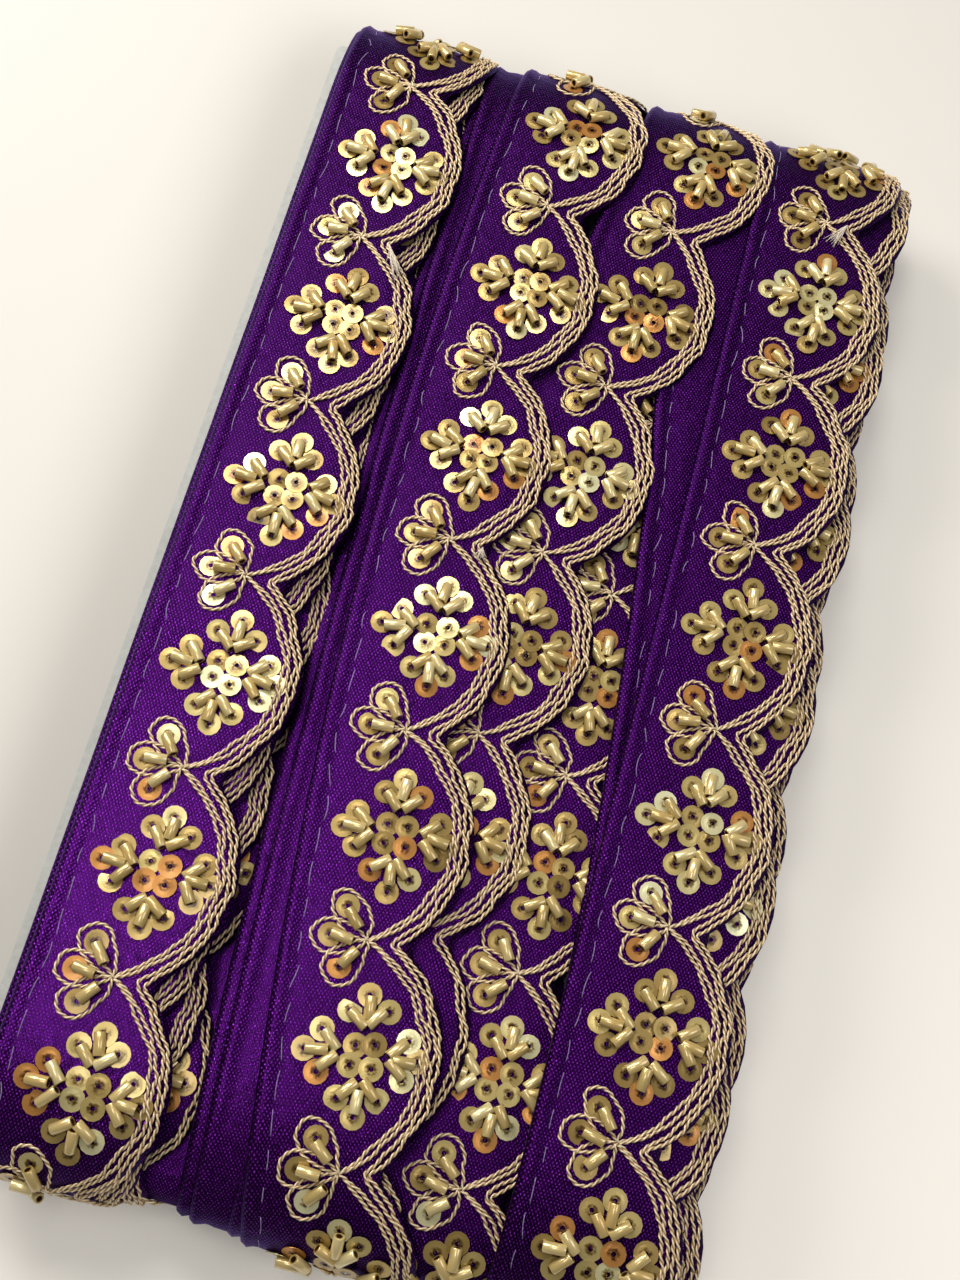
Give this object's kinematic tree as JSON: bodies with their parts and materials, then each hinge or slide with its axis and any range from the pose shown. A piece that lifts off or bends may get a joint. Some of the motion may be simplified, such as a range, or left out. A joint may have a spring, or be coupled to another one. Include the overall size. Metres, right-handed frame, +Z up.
{
  "type": "sequin trim wound on a card",
  "caption": "Purple scalloped cloth trim with corded rims and beaded sequin flowers, wound lengthwise round a flat card.",
  "frame": {"origin": "centre of the underside of the whole part's box", "axes": "+Z up from the surface it rests on, +Y along the card towards its upper end, X across the runs with the card's bare edge at -X"},
  "size_m": [0.1378, 0.2588, 0.0316],
  "materials": {
    "trim_cloth": "plain-woven purple cloth with a satin sheen",
    "pale_card": "pale grey matt board",
    "gold_sequin": "shiny champagne gold sequin film",
    "gold_bead": "silver-lined honey glass bugle bead",
    "gold_cord": "two-ply twisted antique gold cord",
    "lilac_thread": "fine pale lilac sewing thread"
  },
  "bodies": {
    "root": {"wound_trim": "trim_cloth", "card": "pale_card"}
  },
  "joints": []
}
